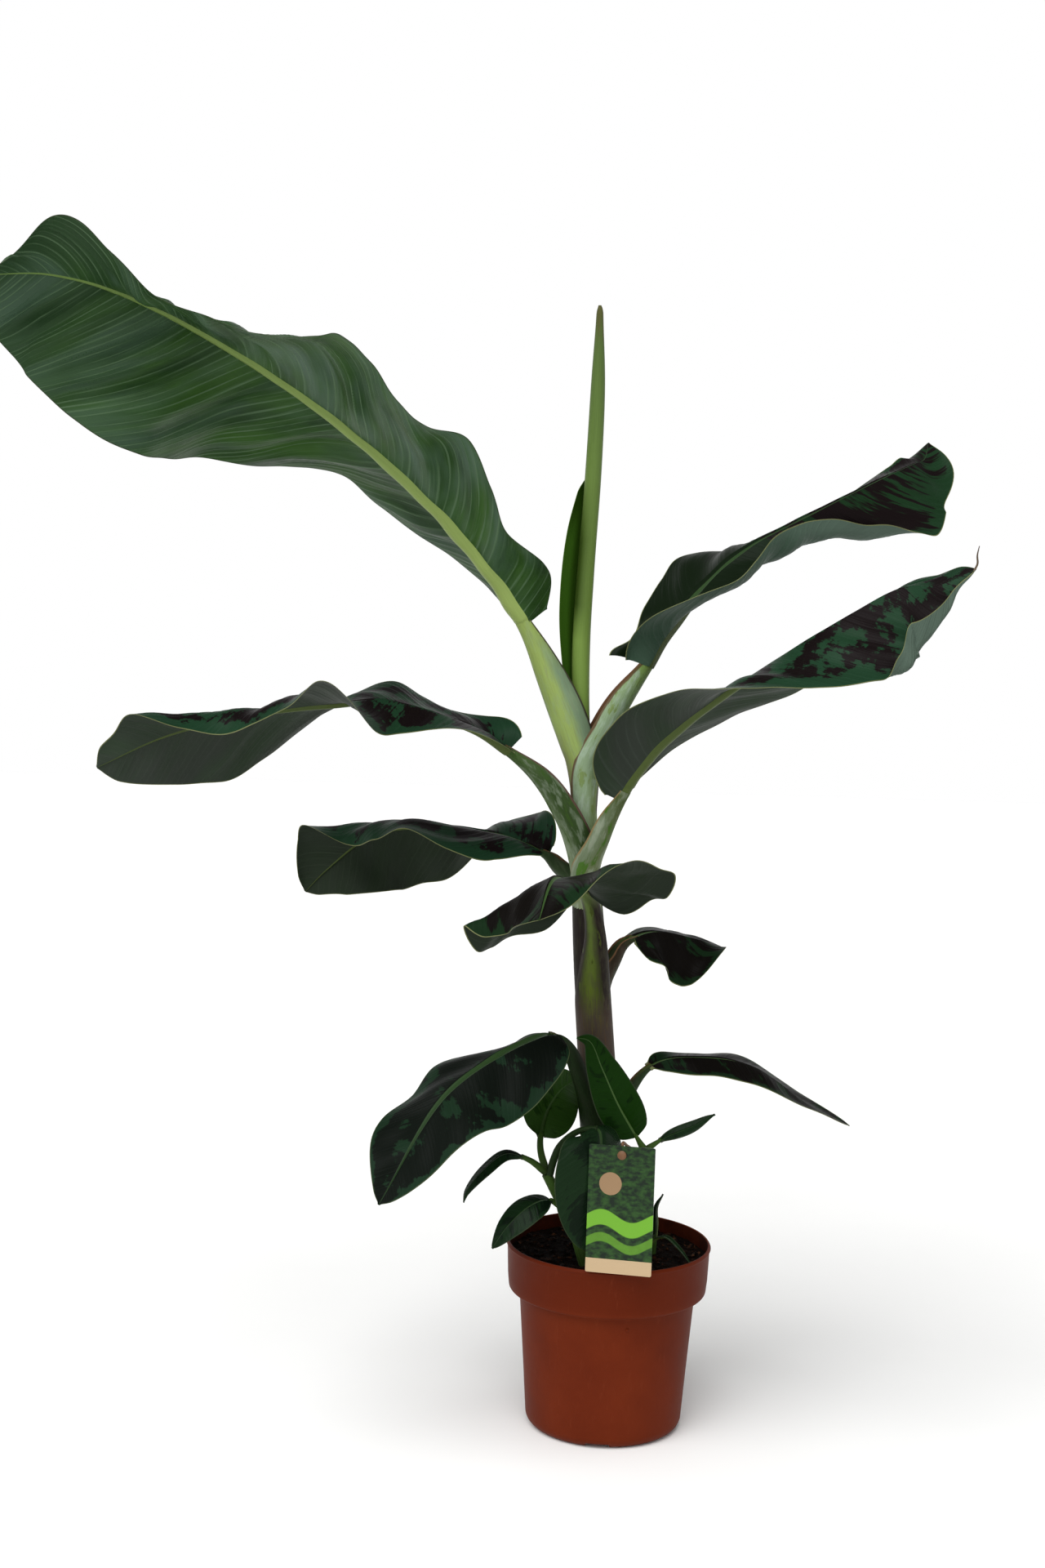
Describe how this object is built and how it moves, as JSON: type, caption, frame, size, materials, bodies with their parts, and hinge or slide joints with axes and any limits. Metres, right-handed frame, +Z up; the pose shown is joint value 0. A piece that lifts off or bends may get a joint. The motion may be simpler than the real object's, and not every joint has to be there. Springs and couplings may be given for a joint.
{
  "type": "potted dwarf banana plant",
  "caption": "Dwarf banana plant with a sheathed stem, arching paddle leaves, a furled young leaf and suckers, standing in a round brown nursery pot with a hanging plant tag.",
  "frame": {"origin": "centre of the pot's flat underside", "axes": "+Z up along the pot's axis, -Y towards the side that carries the plant tag, +X to the right seen from there"},
  "size_m": [0.93, 0.472, 1.168],
  "materials": {
    "pot": "matte moulded terracotta-brown plastic",
    "soil": "loose dark potting mix",
    "stem": "rolled leaf sheaths, green with purple-brown dry edges",
    "stalk": "pale green with a waxy bloom",
    "leaf": "dark green, blotched maroon above, grey-green and dull below",
    "young_leaf": "fresh green, satin",
    "tag": "coated card",
    "strap": "brown moulded tie"
  },
  "bodies": {
    "root": {"pot": "pot", "soil": "soil", "stem": "stem", "sucker_left": "stalk", "sucker_right": "stalk", "stalk_low_left": "stalk", "stalk_low_right": "stalk", "stalk_front": "stalk", "stalk_small_right": "stalk", "stalk_mid_left": "stalk", "stalk_right": "stalk", "stalk_left": "stalk", "stalk_upper_right": "stalk", "stalk_upper_left": "stalk", "stalk_sucker_bright": "stalk", "stalk_sucker_thin": "stalk", "stalk_sucker_broad": "stalk", "stalk_sucker_narrow": "stalk", "stalk_sucker_back": "stalk", "stalk_sucker_rim": "stalk", "stalk_sucker_upright": "stalk", "stalk_sucker_blade": "stalk", "leaf_furled": "young_leaf", "leaf_low_left": "leaf", "leaf_low_right": "leaf", "leaf_front": "leaf", "leaf_small_right": "leaf", "leaf_mid_left": "leaf", "leaf_right": "leaf", "leaf_left": "leaf", "leaf_upper_right": "leaf", "leaf_upper_left": "leaf", "leaf_sucker_bright": "leaf", "leaf_sucker_thin": "leaf", "leaf_sucker_broad": "leaf", "leaf_sucker_narrow": "leaf", "leaf_sucker_back": "leaf", "leaf_sucker_rim": "leaf", "leaf_sucker_upright": "leaf", "leaf_sucker_blade": "leaf", "tag": "tag", "tag_strap": "strap"}
  },
  "joints": []
}
